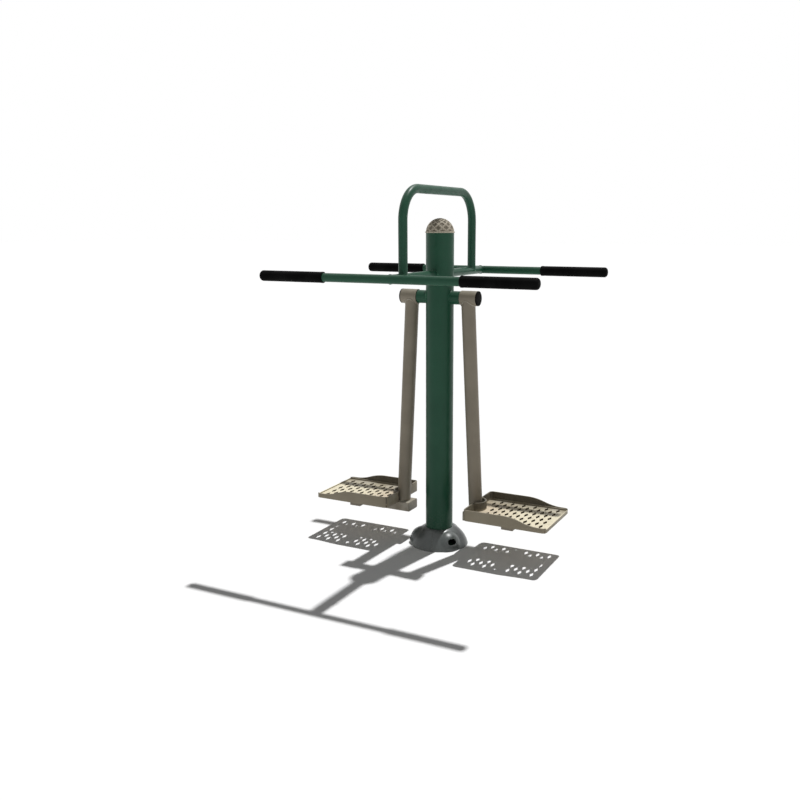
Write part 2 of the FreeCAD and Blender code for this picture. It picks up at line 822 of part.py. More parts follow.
def hub_cap(side, turn):
    body = new_body(side + "_cap_body")
    plug = "hub_bore - plug_wall"
    sketch = outline(body, "XZ_Plane", side + "_cap_outline", [
        ("hub_end", 0),
        ("hub_end", plug),
        ("hub_end - plug_depth", plug),
        ("hub_end - plug_depth", "hub_bore"),
        ("hub_end", "hub_bore"),
        ("hub_end", "hub_radius"),
        ("hub_end + cap_thickness", "hub_radius"),
        ("hub_end + cap_thickness", 0),
    ])
    disc = turned(body, sketch, "H_Axis", side + "_cap_turn")
    doc.recompute()
    face = mm("hub_end") + mm("cap_thickness")
    rim = edges_where(disc, lambda edge, middle: abs(middle.x - face) < 0.01
                      and round_rim(edge, mm("hub_radius")))
    rounded(body, disc, rim, "cap_rounding", side + "_cap_rounding")
    place(body, z="axle_lift", turn=turn)
    keep(body, side + "_hub_cap")


def turned_group(pieces, label, turn):
    node = group(label + "_set", pieces)
    node.Placement = Placement(Vector(), turn)
    keep(node, label)


def hub_seal(side, turn):
    bore = "inner_ring - spacer_step + seal_gap"
    seal = ring(side + "_seal", "hub_bore", bore, "hub_start", "bearing_inner")
    turned_group([seal], side + "_hub_seal", turn)


def bearing_outer_rings(side, turn):
    turned_group(raced_rings(side + "_outer", "hub_bore", "outer_ring"),
                 side + "_bearing_outer_rings", turn)


def retaining_ring(side, turn):
    """A snap ring with its gap at the bottom."""
    start = "bearing_outer + bearing_width"
    full = ring(side + "_snap", "hub_bore + snap_depth", "snap_bore", start, f"{start} + snap_width")
    gap = block(side + "_snap_gap", "snap_width", "lug_half", "hub_radius",
                x=start, y="-lug_half / 2", z="axle_lift - hub_radius")
    turned_group([cut(side + "_snap_open", full, gap)], side + "_retaining_ring", turn)


def stop_buffer(side, turn):
    """A rubber ring cut open over the swing of the lug."""
    start = "bearing_inner + bearing_width + buffer_margin"
    width = "bearing_outer - bearing_inner - bearing_width - 2 * buffer_margin"
    full = ring(side + "_buffer_ring", "hub_shoulder", "buffer_bore", start, f"{start} + {width}")
    limit = mm("swing_limit")
    sweep = doc.addObject("Part::Cylinder", side + "_buffer_sweep")
    bind(sweep, Radius="hub_radius", Height=width, Angle="2 * swing_limit")
    # the cylinder's first edge points down once its axis lies along X, so it is rolled to the top
    roll = Rotation(Vector(1, 0, 0), 180 - limit)
    place(sweep, x=start, z="axle_lift", turn=roll.multiply(ALONG["X"]))
    clearances = [sweep]
    for way in (-1, 1):
        tilt = Rotation(Vector(1, 0, 0), way * limit)
        half = mm("lug_half") + mm("stop_gap")
        corner = tilt.multVec(Vector(0, -half, 0))
        slot = block(f"{side}_buffer_slot_{'back' if way < 0 else 'front'}", width,
                     "2 * (lug_half + stop_gap)", "hub_radius", x=start, y=corner.y,
                     z=f"axle_lift + {corner.z}", turn=tilt)
        clearances.append(slot)
    opened = cut(side + "_buffer_open", full, fuse(side + "_buffer_clear", clearances))
    turned_group([opened], side + "_stop_buffer", turn)


def arm_tube(side, turn):
    """A leaning tube from the hub down to the beam under the tray."""
    drop = mm("axle_lift") - mm("beam_top")
    lean = math.atan2(mm("arm_foot") - mm("arm_top"), drop)
    reach = drop / math.cos(lean) + 4 * mm("arm_radius")
    tilt = Rotation(Vector(0, 1, 0), -math.degrees(lean))
    overrun = 2 * mm("arm_radius")
    pieces = []
    for name, radius in (("outside", "arm_radius"), ("inside", "arm_radius - arm_wall")):
        piece = doc.addObject("Part::Cylinder", f"{side}_arm_{name}")
        bind(piece, Radius=radius)
        piece.Height = reach
        place(piece, x=f"arm_foot + {overrun * math.sin(lean)}",
              z=f"beam_top - {overrun * math.cos(lean)}", turn=tilt)
        pieces.append(piece)
    leaning = cut(side + "_arm_leaning", *pieces)
    span = block(side + "_arm_span", "4 * arm_foot", "4 * arm_radius", "axle_lift - beam_top",
                 x="-arm_foot", y="-2 * arm_radius", z="beam_top")
    between = common(side + "_arm_between", leaning, span)
    seat = rod(side + "_arm_seat", "hub_radius", "2 * hub_end", z="axle_lift", along="X")
    turned_group([cut(side + "_arm_fitted", between, seat)], side + "_arm_tube", turn)


def foot_beam(side, turn):
    start, end = "beam_start + beam_plate", "beam_end - beam_plate"
    low = "beam_top - beam_height"
    outside = block(side + "_beam_outside", f"{end} - ({start})", "2 * beam_half", "beam_height",
                    x=start, y="-beam_half", z=low)
    inside = block(side + "_beam_inside", f"{end} - ({start})", "2 * (beam_half - beam_wall)",
                   "beam_height - 2 * beam_wall",
                   x=start, y="beam_wall - beam_half", z=f"{low} + beam_wall")
    turned_group([cut(side + "_beam_hollow", outside, inside)], side + "_foot_beam", turn)
    plates = [block(f"{side}_beam_plate_{i}", "beam_plate", "2 * beam_half", "beam_height",
                    x=x, y="-beam_half", z=low)
              for i, x in enumerate(("beam_start", "beam_end - beam_plate"))]
    turned_group(plates, side + "_beam_end_plates", turn)


def cross_stubs(side, turn):
    """Box-section outriggers from the beam out under the tray's floor."""
    length = "stub_reach - beam_half"
    stubs = []
    for i, y in enumerate(("-stub_reach", "beam_half")):
        outside = block(f"{side}_stub_outside_{i}", "2 * stub_half", length, "stub_height",
                        x="stub_middle - stub_half", y=y, z="beam_top - stub_height")
        inside = block(f"{side}_stub_inside_{i}", "2 * (stub_half - beam_wall)",
                       f"{length} - beam_wall", "stub_height - 2 * beam_wall",
                       x="stub_middle - stub_half + beam_wall",
                       y=y if i else f"{y} + beam_wall", z="beam_top - stub_height + beam_wall")
        stubs.append(cut(f"{side}_stub_{i}", outside, inside))
    turned_group(stubs, side + "_cross_stubs", turn)


def slope_outline(body, name):
    """What is cut away above the tray's walls: from the crest an S of two equal arcs, then level."""
    sketch = new_sketch(body, "XZ_Plane", name)
    crest, slope = mm("crest_end"), mm("slope_end")
    high, low = mm("tray_side_top"), mm("tray_low_top")
    end, top = mm("tray_end") + mm("tray_wall"), high + mm("tray_wall")
    run, fall = slope - crest, high - low
    radius = (run ** 2 + fall ** 2) / (4 * fall)
    half_turn = math.asin(run / 2 / radius) / 2
    middle = Vector((crest + slope) / 2, (high + low) / 2, 0)
    upper = Vector(crest + radius * math.sin(half_turn), high - radius * (1 - math.cos(half_turn)), 0)
    lower = Vector(slope - radius * math.sin(half_turn), low + radius * (1 - math.cos(half_turn)), 0)
    head = [Vector(crest, top, 0), Vector(crest, high, 0)]
    tail = [Vector(slope, low, 0), Vector(end, low, 0), Vector(end, top, 0)]
    sketch.addGeometry(Part.LineSegment(head[0], head[1]), False)
    sketch.addGeometry(Part.Arc(head[1], upper, middle), False)
    sketch.addGeometry(Part.Arc(middle, lower, tail[0]), False)
    sketch.addGeometry(Part.LineSegment(tail[0], tail[1]), False)
    sketch.addGeometry(Part.LineSegment(tail[1], tail[2]), False)
    sketch.addGeometry(Part.LineSegment(tail[2], head[0]), False)
    # the upper arc runs clockwise, so it is stored with its ends swapped
    meetings = ((0, 2, 1, 2), (1, 1, 2, 1), (2, 2, 3, 1), (3, 2, 4, 1), (4, 2, 5, 1), (5, 2, 0, 1))
    for joint in meetings:
        sketch.addConstraint(Sketcher.Constraint("Coincident", *joint))
    pin_point(sketch, 0, 1, "crest_end", "tray_side_top + tray_wall")
    pin_point(sketch, 0, 2, "crest_end", "tray_side_top")
    pin_point(sketch, 2, 1, "(crest_end + slope_end) / 2", "(tray_side_top + tray_low_top) / 2")
    pin_point(sketch, 3, 1, "slope_end", "tray_low_top")
    pin_point(sketch, 4, 1, "tray_end + tray_wall", "tray_low_top")
    pin_point(sketch, 5, 1, "tray_end + tray_wall", "tray_side_top + tray_wall")
    pin_across(sketch, 1, 3, "crest_end")
    pin_across(sketch, 2, 3, "slope_end")
    return sketch


def raised(sketch, height):
    bind(sketch, **{"AttachmentOffset.Base.z": height})
    return sketch


def tray_shell(body, side):
    """Four walls round a floor, with corners that are rounded outside and cut across inside."""
    plan = outline(body, "XY_Plane", side + "_tray_plan", [
        ("tray_start", "-tray_half"),
        ("tray_end", "-tray_half"),
        ("tray_end", "tray_half"),
        ("tray_start", "tray_half"),
    ])
    solid = pad(body, raised(plan, "beam_top"), "tray_side_top - beam_top", side + "_tray_solid")
    doc.recompute()
    uprights = edges_where(solid, lambda edge, middle: abs(edge.tangentAt(edge.FirstParameter).z) > 0.99)
    rounded(body, solid, uprights, "tray_corner", side + "_tray_corners")
    inside = outline(body, "XY_Plane", side + "_floor_plan", [
        ("tray_start + 2 * tray_wall", "tray_wall - tray_half"),
        ("tray_end - 2 * tray_wall", "tray_wall - tray_half"),
        ("tray_end - tray_wall", "2 * tray_wall - tray_half"),
        ("tray_end - tray_wall", "tray_half - 2 * tray_wall"),
        ("tray_end - 2 * tray_wall", "tray_half - tray_wall"),
        ("tray_start + 2 * tray_wall", "tray_half - tray_wall"),
        ("tray_start + tray_wall", "tray_half - 2 * tray_wall"),
        ("tray_start + tray_wall", "2 * tray_wall - tray_half"),
    ])
    pocket(body, raised(inside, "tray_side_top"), "tray_side_top - beam_top - tray_floor",
           side + "_floor_hollow")


def tray_ledges(body, side):
    """A ledge along the foot of each side wall."""
    start, end = "tray_start + tray_corner", "tray_end - tray_wall"
    outer, inner = "tray_half - tray_wall / 2", "tray_half - tray_wall - ledge_width"
    for name, sign in (("near", "-"), ("far", "")):
        ledge = outline(body, "XY_Plane", f"{side}_{name}_ledge_plan", [
            (x, f"{sign}({y})") for x, y in ((start, outer), (end, outer), (end, inner), (start, inner))])
        pad(body, raised(ledge, "beam_top"), "tray_floor + ledge_rise", f"{side}_{name}_ledge")


def tray_low_end(body, side):
    """Between its corners the outer end is only a low rim."""
    notch = outline(body, "XY_Plane", side + "_end_plan", [
        ("tray_end - tray_wall", "2 * tray_wall - tray_half"),
        ("tray_end + tray_wall", "2 * tray_wall - tray_half"),
        ("tray_end + tray_wall", "tray_half - 2 * tray_wall"),
        ("tray_end - tray_wall", "tray_half - 2 * tray_wall"),
    ])
    pocket(body, raised(notch, "tray_side_top"), "tray_side_top - rim_top", side + "_end_notch")


def tray_boss(body, side):
    """A half-round wall around the arm's foot, with a recess right through the floor."""
    tall = "tray_side_top - beam_top"
    outer = "recess_radius + boss_wall"
    boss = circle_sketch(body, "XY_Plane", side + "_boss_plan", [("arm_foot", 0, outer)])
    pad(body, raised(boss, "beam_top"), tall, side + "_boss")
    recess = circle_sketch(body, "XY_Plane", side + "_recess_plan", [("arm_foot", 0, "recess_radius")])
    pocket(body, raised(recess, "tray_side_top"), tall, side + "_recess")
    waste = outline(body, "XY_Plane", side + "_waste_plan", [
        (0, "-tray_half / 2"),
        ("tray_start", "-tray_half / 2"),
        ("tray_start", "tray_half / 2"),
        (0, "tray_half / 2"),
    ])
    pocket(body, raised(waste, "tray_side_top"), tall, side + "_inner_end")


def tray_holes(body, side):
    """Diamonds through the floor, every second column shifted by half a step, and two beside the boss."""
    patterns = (
        ("even", "hole_start", "hole_columns", 5, "2 * hole_row"),
        ("odd", "hole_start + hole_pitch / 2", "hole_columns - 1", 4, "2 * hole_row"),
        ("inner", "hole_start - hole_pitch / 2", 1, 2, "6 * hole_row"),
    )
    for name, first_x, columns, rows, step in patterns:
        first_y = f"hole_shift - {(rows - 1) / 2} * {step}"
        diamond = outline(body, "XY_Plane", f"{side}_{name}_diamond", [
            (f"{first_x} - hole_length / 2", first_y),
            (first_x, f"{first_y} - hole_width / 2"),
            (f"{first_x} + hole_length / 2", first_y),
            (first_x, f"{first_y} + hole_width / 2"),
        ])
        hole = pocket(body, raised(diamond, "beam_top + tray_floor"), "tray_floor", f"{side}_{name}_hole")
        grid(body, hole, diamond, f"{side}_{name}_holes", columns,
             f"hole_pitch * ({columns} - 1)", rows, f"{rows - 1} * {step}")


def foot_tray(side, turn):
    """Cast tray with side walls that fall outwards in an S and a pierced floor."""
    body = new_body(side + "_tray_body")
    tray_shell(body, side)
    tray_boss(body, side)
    tray_holes(body, side)
    tray_ledges(body, side)
    pocket(body, slope_outline(body, side + "_slope"), "3 * tray_half", side + "_side_tops", both_ways=True)
    tray_low_end(body, side)
    place(body, turn=turn)
    keep(body, side + "_foot_tray")


def swing_arm(side):
    turn = about_column(SIDES[side])
    for piece in (hub, hub_cap, hub_seal, bearing_outer_rings, retaining_ring, stop_buffer, arm_tube,
                  foot_beam, cross_stubs, foot_tray):
        piece(side, turn)


def check_document():
    """Stop on any failed object and on any sub-part that isn't a valid solid."""
    failed = [thing.Name for thing in doc.Objects if "Invalid" in thing.State or "Error" in thing.State]
    bad = [node.Label for node in nodes
           if node.Shape.isNull() or not node.Shape.isValid() or not node.Shape.Solids]
    if failed or bad:
        raise RuntimeError(f"failed objects {failed}, bad sub-parts {bad}")


def write_parts():
    os.makedirs("parts", exist_ok=True)
    for node in nodes:
        node.Shape.exportStep(f"parts/{node.Label}.step")
        box = node.Shape.BoundBox
        print(f"{node.Label:28s} solids {len(node.Shape.Solids):2d} volume {node.Shape.Volume:12.0f} "
              f"x {box.XMin:8.1f} {box.XMax:8.1f} y {box.YMin:8.1f} {box.YMax:8.1f} "
              f"z {box.ZMin:8.1f} {box.ZMax:8.1f}")


sheet = fill_sheet()
column_tube()
base_flange()
base_gussets()
base_cover()
dome_cap()
handle_bars()
cross_tube()
bar_end_plates()
grips()
hoop()
axle_sleeve()
axle_shaft()
axle_spacers()
stop_spacers()
bearing_inner_rings()
bearing_ball_sets()
axle_fasteners()
for side in SIDES:
    swing_arm(side)
doc.recompute()
check_document()
write_parts()
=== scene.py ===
import json
import math

import bmesh
import bpy
from mathutils import Matrix, Vector


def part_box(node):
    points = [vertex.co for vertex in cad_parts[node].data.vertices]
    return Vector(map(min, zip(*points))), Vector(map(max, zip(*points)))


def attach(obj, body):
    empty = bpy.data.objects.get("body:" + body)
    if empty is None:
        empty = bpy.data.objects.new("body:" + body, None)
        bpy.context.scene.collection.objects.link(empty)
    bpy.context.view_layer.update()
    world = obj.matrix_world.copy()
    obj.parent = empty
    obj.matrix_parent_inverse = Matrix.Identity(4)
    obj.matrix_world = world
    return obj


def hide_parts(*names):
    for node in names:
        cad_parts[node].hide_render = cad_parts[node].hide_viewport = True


# outdoor air walker: finish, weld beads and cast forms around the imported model, all in metres

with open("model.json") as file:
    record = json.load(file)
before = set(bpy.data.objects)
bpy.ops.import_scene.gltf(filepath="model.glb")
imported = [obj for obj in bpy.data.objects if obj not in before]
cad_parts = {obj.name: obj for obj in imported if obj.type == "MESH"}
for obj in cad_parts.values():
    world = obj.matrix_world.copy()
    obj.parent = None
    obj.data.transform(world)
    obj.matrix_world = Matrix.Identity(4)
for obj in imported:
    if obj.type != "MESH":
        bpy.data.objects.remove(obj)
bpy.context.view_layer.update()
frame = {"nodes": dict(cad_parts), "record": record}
nodes = frame["nodes"]
scene = bpy.context.scene
sides = {"right": 0.0, "left": math.pi}  # the left arm is the right one turned about the post
fullTurn = 2 * math.pi

print("frame loaded:", len(nodes), "nodes")


# shader node helpers

def addNode(tree, kind, **settings):
    made = tree.nodes.new("ShaderNode" + kind)
    for name, setting in settings.items():
        setattr(made, name, setting)
    return made


def plug(tree, source, socket):
    if isinstance(source, bpy.types.NodeSocket):
        tree.links.new(source, socket)
    else:
        socket.default_value = source


def maths(tree, operation, first, second=0.0, clamp=False):
    made = addNode(tree, "Math", operation=operation, use_clamp=clamp)
    plug(tree, first, made.inputs[0])
    plug(tree, second, made.inputs[1])
    return made.outputs[0]


def blendColours(tree, share, first, second):
    made = addNode(tree, "Mix", data_type="RGBA")
    plug(tree, share, made.inputs["Factor"])
    plug(tree, first, made.inputs["A"])
    plug(tree, second, made.inputs["B"])
    return made.outputs["Result"]


def ramp(tree, value, low, high, start=0.0, end=1.0):
    made = addNode(tree, "MapRange", interpolation_type="SMOOTHSTEP")
    for name, source in (("Value", value), ("From Min", low), ("From Max", high),
                         ("To Min", start), ("To Max", end)):
        plug(tree, source, made.inputs[name])
    return made.outputs["Result"]


def cloud(tree, place, scale, detail=2.0, roughness=0.5):
    made = addNode(tree, "TexNoise")
    plug(tree, place, made.inputs["Vector"])
    plug(tree, scale, made.inputs["Scale"])
    made.inputs["Detail"].default_value = detail
    made.inputs["Roughness"].default_value = roughness
    return made.outputs["Fac"]


def objectPlace(tree):
    return addNode(tree, "TexCoord").outputs["Object"]


def newGroup(name, inputs, outputs):
    tree = bpy.data.node_groups.new(name, "ShaderNodeTree")
    for label, kind, value in inputs:
        socket = tree.interface.new_socket(name=label, in_out="INPUT", socket_type="NodeSocket" + kind)
        socket.default_value = value
    for label, kind in outputs:
        tree.interface.new_socket(name=label, in_out="OUTPUT", socket_type="NodeSocket" + kind)
    return tree, tree.nodes.new("NodeGroupInput").outputs, tree.nodes.new("NodeGroupOutput").inputs


def useGroup(tree, group, **values):
    made = addNode(tree, "Group", node_tree=group)
    for name, source in values.items():
        plug(tree, source, made.inputs[name])
    return made.outputs


# shared surface effects

def buildSprayedCoat():
    # baked powder: orange peel, soft waves, faint cloudy tone
    tree, given, out = newGroup("sprayedCoat",
                                [("Tone", "Color", (0.5, 0.5, 0.5, 1)),
                                 ("Drift", "Color", (0.5, 0.5, 0.5, 1)),
                                 ("Peel", "Float", 600.0), ("Gloss", "Float", 0.4)],
                                [("Colour", "Color"), ("Roughness", "Float"), ("Height", "Float")])
    place = objectPlace(tree)
    drift = ramp(tree, cloud(tree, place, 7.0, 3.0), 0.35, 0.7)
    speck = ramp(tree, cloud(tree, place, 2400.0, 0.0), 0.62, 0.75, 0.0, 0.12)
    tone = blendColours(tree, drift, given["Tone"], given["Drift"])
    plug(tree, blendColours(tree, speck, tone, given["Drift"]), out["Colour"])
    peel = cloud(tree, place, given["Peel"], 1.0, 0.4)
    waves = cloud(tree, place, 60.0, 1.0)
    plug(tree, maths(tree, "ADD", peel, maths(tree, "MULTIPLY", waves, 0.8)), out["Height"])
    patchy = ramp(tree, cloud(tree, place, 24.0, 4.0, 0.6), 0.3, 0.75, -0.05, 0.08)
    plug(tree, maths(tree, "ADD", given["Gloss"], patchy), out["Roughness"])
    return tree


def buildRubbedEdge():
    # the "rub" attribute is highest on outward edges
    tree, given, out = newGroup("rubbedEdge", [("Amount", "Float", 0.5), ("Grain", "Float", 180.0)],
                                [("Mask", "Float")])
    place = objectPlace(tree)
    rub = addNode(tree, "Attribute", attribute_name="rub").outputs["Fac"]
    breakUp = cloud(tree, place, given["Grain"], 4.0, 0.65)
    patches = ramp(tree, cloud(tree, place, 14.0, 2.0), 0.4, 0.65)
    reach = maths(tree, "MULTIPLY", rub, maths(tree, "MULTIPLY", breakUp, given["Amount"]))
    worn = ramp(tree, reach, 0.16, 0.3)
    plug(tree, maths(tree, "MULTIPLY", worn, patches, clamp=True), out["Mask"])
    return tree


def buildDustAndPaintedToplight():
    # lies on what faces up, thicker in patches: real dust, and also painted top light that lightens every
    # up-facing face
    tree, given, out = newGroup("settledDustAndToplight", [("Amount", "Float", 0.3), ("Grain", "Float", 30.0)],
                                [("Mask", "Float")])
    coordinates = addNode(tree, "TexCoord")
    split = addNode(tree, "SeparateXYZ")
    plug(tree, coordinates.outputs["Normal"], split.inputs[0])
    level = ramp(tree, split.outputs["Z"], 0.35, 0.98)
    patches = ramp(tree, cloud(tree, coordinates.outputs["Object"], given["Grain"], 5.0, 0.65), 0.3, 0.75)
    settled = maths(tree, "MULTIPLY", level, patches)
    plug(tree, maths(tree, "MULTIPLY", settled, given["Amount"], True), out["Mask"])
    return tree


def buildGroundSplash():
    # dried rain splash, from the ground up to Top
    tree, given, out = newGroup("groundSplash", [("Top", "Float", 0.2), ("Amount", "Float", 0.3)],
                                [("Mask", "Float")])
    place = objectPlace(tree)
    split = addNode(tree, "SeparateXYZ")
    plug(tree, place, split.inputs[0])
    low = ramp(tree, split.outputs["Z"], given["Top"], 0.0)
    drops = ramp(tree, cloud(tree, place, 140.0, 4.0, 0.7), 0.42, 0.7)
    splashed = maths(tree, "MULTIPLY", low, drops)
    plug(tree, maths(tree, "MULTIPLY", splashed, given["Amount"], True), out["Mask"])
    return tree


sprayedCoat = buildSprayedCoat()
rubbedEdge = buildRubbedEdge()
settledDustAndToplight = buildDustAndPaintedToplight()
groundSplash = buildGroundSplash()


# finishes

def newFinish(name, metallic=0.0, specular=0.5, coat=0.0, coatRoughness=0.1):
    material = bpy.data.materials.new(name)
    material.use_nodes = True
    shader = material.node_tree.nodes["Principled BSDF"]
    shader.inputs["Metallic"].default_value = metallic
    shader.inputs["Specular IOR Level"].default_value = specular
    shader.inputs["Coat Weight"].default_value = coat
    shader.inputs["Coat Roughness"].default_value = coatRoughness
    return material, material.node_tree, shader.inputs


def relief(tree, height, depth, sockets):
    bump = addNode(tree, "Bump")
    bump.inputs["Distance"].default_value = depth
    plug(tree, height, bump.inputs["Height"])
    plug(tree, bump.outputs["Normal"], sockets["Normal"])


def rgba(colour):
    return (*colour, 1.0)


def paintedSteel(name, look):
    material, tree, sockets = newFinish(name, specular=look["specular"])
    coat = useGroup(tree, sprayedCoat, Tone=rgba(look["tone"]), Drift=rgba(look["drift"]),
                    Peel=look["peel"], Gloss=look["gloss"])
    rubbed = useGroup(tree, rubbedEdge, Amount=look["rub"])["Mask"]
    dustAndToplight = useGroup(tree, settledDustAndToplight, Amount=look["dustAndToplightAmount"])["Mask"]
    splashed = useGroup(tree, groundSplash, Top=look["splashTop"], Amount=look["splash"])["Mask"]
    colour = blendColours(tree, rubbed, coat["Colour"], rgba(look["rubTone"]))
    # the dust mask also holds painted top light: up-facing faces are mixed toward the lighter dust tone
    soiledAndToplit = maths(tree, "MAXIMUM", dustAndToplight, splashed)
    colour = blendColours(tree, soiledAndToplit, colour, rgba(look["dustAndToplightTone"]))
    plug(tree, colour, sockets["Base Color"])
    plug(tree, maths(tree, "ADD", coat["Roughness"], maths(tree, "MULTIPLY", soiledAndToplit, 0.3), True),
         sockets["Roughness"])
    relief(tree, coat["Height"], look["peelDepth"], sockets)
    return material


greenLook = {
    "tone": (0.008, 0.060, 0.031), "drift": (0.011, 0.070, 0.037), "peel": 650.0, "peelDepth": 0.00007,
    "gloss": 0.36, "specular": 0.22, "rub": 0.7, "rubTone": (0.05, 0.15, 0.09),
    "dustAndToplightAmount": 0.22, "dustAndToplightTone": (0.17, 0.22, 0.17), "splashTop": 0.22, "splash": 0.25,
}
taupeLook = {
    "tone": (0.205, 0.178, 0.135), "drift": (0.240, 0.210, 0.160), "peel": 520.0, "peelDepth": 0.00009,
    "gloss": 0.45, "specular": 0.28, "rub": 0.8, "rubTone": (0.36, 0.33, 0.27),
    "dustAndToplightAmount": 0.45, "dustAndToplightTone": (0.44, 0.40, 0.31), "splashTop": 0.05, "splash": 0.0,
}
trayLook = dict(taupeLook, tone=(0.245, 0.212, 0.150), drift=(0.275, 0.240, 0.175))
coverLook = {
    "tone": (0.058, 0.068, 0.066), "drift": (0.074, 0.085, 0.082), "peel": 420.0, "peelDepth": 0.00010,
    "gloss": 0.31, "specular": 0.55, "rub": 0.9, "rubTone": (0.30, 0.32, 0.30),
    "dustAndToplightAmount": 0.10, "dustAndToplightTone": (0.30, 0.30, 0.26), "splashTop": 0.05, "splash": 0.15,
}


def treadSteel(name, look, tread):
    # the tray's coat: painted shade inside and on top of its walls and in its holes, and painted top light on
    # the floor lattice
    material = paintedSteel(name, look)
    tree = material.node_tree
    sockets = tree.nodes["Principled BSDF"].inputs
    coordinates = addNode(tree, "TexCoord")
    place = addNode(tree, "SeparateXYZ")
    facing = addNode(tree, "SeparateXYZ")
    plug(tree, coordinates.outputs["Object"], place.inputs[0])
    plug(tree, coordinates.outputs["Normal"], facing.inputs[0])
    fromPost = maths(tree, "ABSOLUTE", place.outputs["X"])
    fromAxle = maths(tree, "ABSOLUTE", place.outputs["Y"])
    blotches = ramp(tree, cloud(tree, coordinates.outputs["Object"], 55.0, 5.0, 0.7), 0.3, 0.62, 0.72, 1.0)

    within = maths(tree, "MULTIPLY", ramp(tree, fromPost, tread["start"], tread["start"] + tread["fade"]),
                   ramp(tree, fromPost, tread["end"], tread["end"] - tread["fade"]))
    within = maths(tree, "MULTIPLY", within,
                   ramp(tree, fromAxle, tread["half"], tread["half"] - tread["fade"]))
    overLedge = ramp(tree, place.outputs["Z"], tread["ledge"], tread["ledge"] + tread["fade"])
    # painted shade on the inner faces and tops of the walls, above the ledge
    paintedWallShade = maths(tree, "MULTIPLY", maths(tree, "MULTIPLY", within, overLedge), blotches)
    painted = sockets["Base Color"].links[0].from_socket
    colour = blendColours(tree, paintedWallShade, painted, rgba(tread["paintedWallShadeTone"]))

    # painted shade: upright faces below the floor top, the hole walls, are mixed to a dark brown
    upright = ramp(tree, maths(tree, "ABSOLUTE", facing.outputs["Z"]), 0.7, 0.3)
    underFloor = ramp(tree, place.outputs["Z"], tread["floor"], tread["floor"] - tread["fade"])
    pierced = maths(tree, "MULTIPLY", maths(tree, "MULTIPLY", within, underFloor), upright)
    colour = blendColours(tree, pierced, colour, rgba(tread["hole"]))

    # painted top light: the up-facing lattice floor is mixed toward cream, with the tone keyed worn near the
    # post and the pale tone further out
    level = ramp(tree, facing.outputs["Z"], 0.3, 0.85)
    above = ramp(tree, place.outputs["Z"], tread["floor"] - 2 * tread["fade"], tread["floor"] - tread["fade"])
    below = ramp(tree, place.outputs["Z"], tread["rim"] + 2 * tread["fade"], tread["rim"] + tread["fade"])
    paintedTreadLight = maths(tree, "MULTIPLY", maths(tree, "MULTIPLY", above, below),
                   maths(tree, "MULTIPLY", level, blotches))
    # painted shade of the rear wall, partly dirt: the painted top light fades out along the rear wall
    rearShadeAndDirt = ramp(tree, place.outputs["Y"], tread["half"], tread["rearShadeAndDirt"])
    paintedTreadLight = maths(tree, "MULTIPLY", paintedTreadLight, rearShadeAndDirt)
    paintedTreadLightTone = blendColours(tree, ramp(tree, fromPost, 0.22, 0.40), rgba(tread["worn"]), rgba(tread["pale"]))
    plug(tree, blendColours(tree, paintedTreadLight, colour, paintedTreadLightTone), sockets["Base Color"])
    return material


treadLook = {"start": 0.178, "end": 0.5235, "half": 0.1425, "floor": 0.179, "rim": 0.183, "ledge": 0.185,
             "rearShadeAndDirt": 0.030, "fade": 0.0007, "paintedWallShadeTone": (0.105, 0.092, 0.066), "hole": (0.115, 0.082, 0.045),
             "worn": (0.62, 0.52, 0.38), "pale": (0.80, 0.73, 0.54)}


def castStone(name, look):
    # cap: rough beige cast, darker in the hollows of its relief
    material, tree, sockets = newFinish(name, specular=0.3)
    place = objectPlace(tree)
    hollow = addNode(tree, "Attribute", attribute_name="hollow").outputs["Fac"]
    mottle = ramp(tree, cloud(tree, place, 90.0, 5.0, 0.7), 0.3, 0.7)
    tone = blendColours(tree, mottle, rgba(look["tone"]), rgba(look["drift"]))
    hollowDark = maths(tree, "MULTIPLY", hollow, ramp(tree, cloud(tree, place, 220.0, 4.0), 0.2, 0.6, 0.65, 1.0))
    plug(tree, blendColours(tree, hollowDark, tone, rgba(look["hollowDark"])), sockets["Base Color"])
    plug(tree, ramp(tree, mottle, 0.0, 1.0, 0.55, 0.75), sockets["Roughness"])
    grain = cloud(tree, place, 900.0, 3.0, 0.6)
    relief(tree, grain, look["grainDepth"], sockets)
    return material


capLook = {"tone": (0.40, 0.35, 0.27), "drift": (0.50, 0.45, 0.36), "hollowDark": (0.18, 0.155, 0.115),
           "grainDepth": 0.00025}


def mouldedRubber(name, look):
    material, tree, sockets = newFinish(name, specular=look["specular"])
    place = objectPlace(tree)
    pebble = addNode(tree, "TexVoronoi", feature="SMOOTH_F1")
    plug(tree, place, pebble.inputs["Vector"])
    pebble.inputs["Scale"].default_value = look["pebble"]
    polish = ramp(tree, cloud(tree, place, 16.0, 3.0), 0.35, 0.7)
    plug(tree, blendColours(tree, polish, rgba(look["tone"]), rgba(look["polished"])), sockets["Base Color"])
    plug(tree, ramp(tree, polish, 0.0, 1.0, look["rough"], look["rough"] - 0.12), sockets["Roughness"])
    relief(tree, pebble.outputs["Distance"], look["depth"], sockets)
    return material


rubberLook = {"tone": (0.002, 0.002, 0.002), "polished": (0.004, 0.004, 0.004), "rough": 0.70,
              "specular": 0.03, "pebble": 900.0, "depth": 0.00018}
plasticLook = {"tone": (0.002, 0.002, 0.002), "polished": (0.004, 0.004, 0.004), "rough": 0.6,
               "specular": 0.035, "pebble": 1500.0, "depth": 0.00006}


